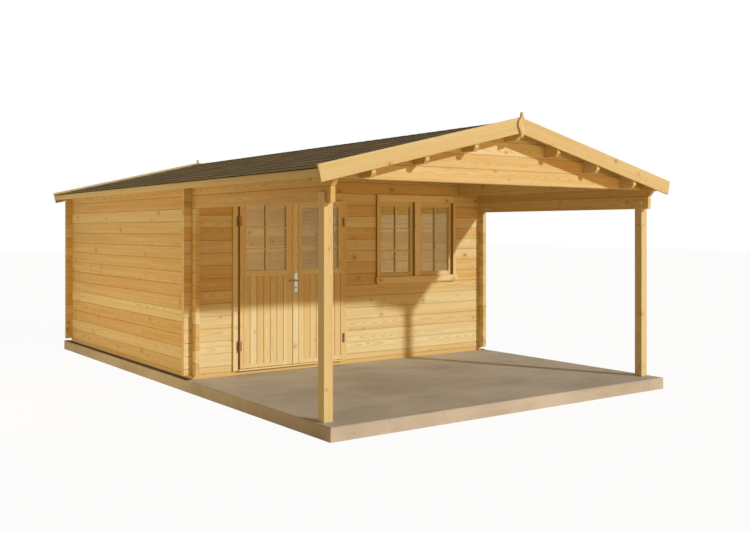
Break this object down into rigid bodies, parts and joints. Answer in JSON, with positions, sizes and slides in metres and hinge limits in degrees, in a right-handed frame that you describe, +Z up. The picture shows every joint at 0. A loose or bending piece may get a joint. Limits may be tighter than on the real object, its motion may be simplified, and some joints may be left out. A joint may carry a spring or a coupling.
{
  "type": "garden house",
  "caption": "Log garden house with glazed doors and a casement window under a low shingled gable roof that runs out over a porch on posts, standing on a concrete slab.",
  "frame": {"origin": "on the ground, under the middle of the roof", "axes": "+Z up, +Y from the porch to the back wall, +X to the right as seen from the porch"},
  "size_m": [4.456, 7.1406, 2.7914],
  "materials": {
    "concrete": "matte",
    "log_wood": "satin",
    "roof_wood": "satin",
    "trim_wood": "satin",
    "shingle": "matte",
    "glass": "gloss",
    "hinge_metal": "satin",
    "handle_metal": "satin"
  },
  "bodies": {
    "house": {"concrete_slab": "concrete", "base_beams": "log_wood", "left_wall": "log_wood", "right_wall": "log_wood", "left_porch_beam": "log_wood", "right_porch_beam": "log_wood", "left_eave_log": "log_wood", "right_eave_log": "log_wood", "back_wall": "log_wood", "front_wall_left": "log_wood", "front_wall_low": "log_wood", "front_wall_middle": "log_wood", "front_wall_right": "log_wood", "front_gable": "log_wood", "back_gable": "log_wood", "porch_gable": "log_wood", "ridge_purlin": "roof_wood", "purlins": "roof_wood", "left_roof_boards": "roof_wood", "right_roof_boards": "roof_wood", "porch_posts": "trim_wood", "eave_fascias": "trim_wood", "front_bargeboards": "trim_wood", "back_bargeboards": "trim_wood", "finials": "trim_wood", "door_jambs": "trim_wood", "door_head": "trim_wood", "door_threshold": "trim_wood", "window_frame": "trim_wood", "window_sill": "trim_wood", "window_sashes": "trim_wood", "left_roof_covering": "shingle", "right_roof_covering": "shingle", "ridge_cap": "shingle", "window_glass": "glass", "frame_hinges": "hinge_metal"},
    "left_leaf": {"left_door_leaf": "trim_wood", "left_door_glass": "glass", "left_leaf_hinges": "hinge_metal", "meeting_strip": "trim_wood", "handle_plate": "handle_metal"},
    "right_leaf": {"right_door_leaf": "trim_wood", "right_door_glass": "glass", "right_leaf_hinges": "hinge_metal"},
    "lever": {"door_lever": "handle_metal"}
  },
  "joints": [
    {"name": "left_leaf_swing", "type": "hinge", "parent": "house", "child": "left_leaf", "pos_m": [-1.508, -0.8225, 1.15], "axis": [0, 0, -1], "range_deg": [0, 110]},
    {"name": "right_leaf_swing", "type": "hinge", "parent": "house", "child": "right_leaf", "pos_m": [-0.163, -0.8225, 1.15], "axis": [0, 0, 1], "range_deg": [0, 110]},
    {"name": "lever_turn", "type": "hinge", "parent": "left_leaf", "child": "lever", "pos_m": [-0.818, -0.8576, 1.128], "axis": [0, -1, 0], "range_deg": [0, 40], "stiffness_Nm_per_rad": 0.8, "springref_deg": -28.65}
  ]
}
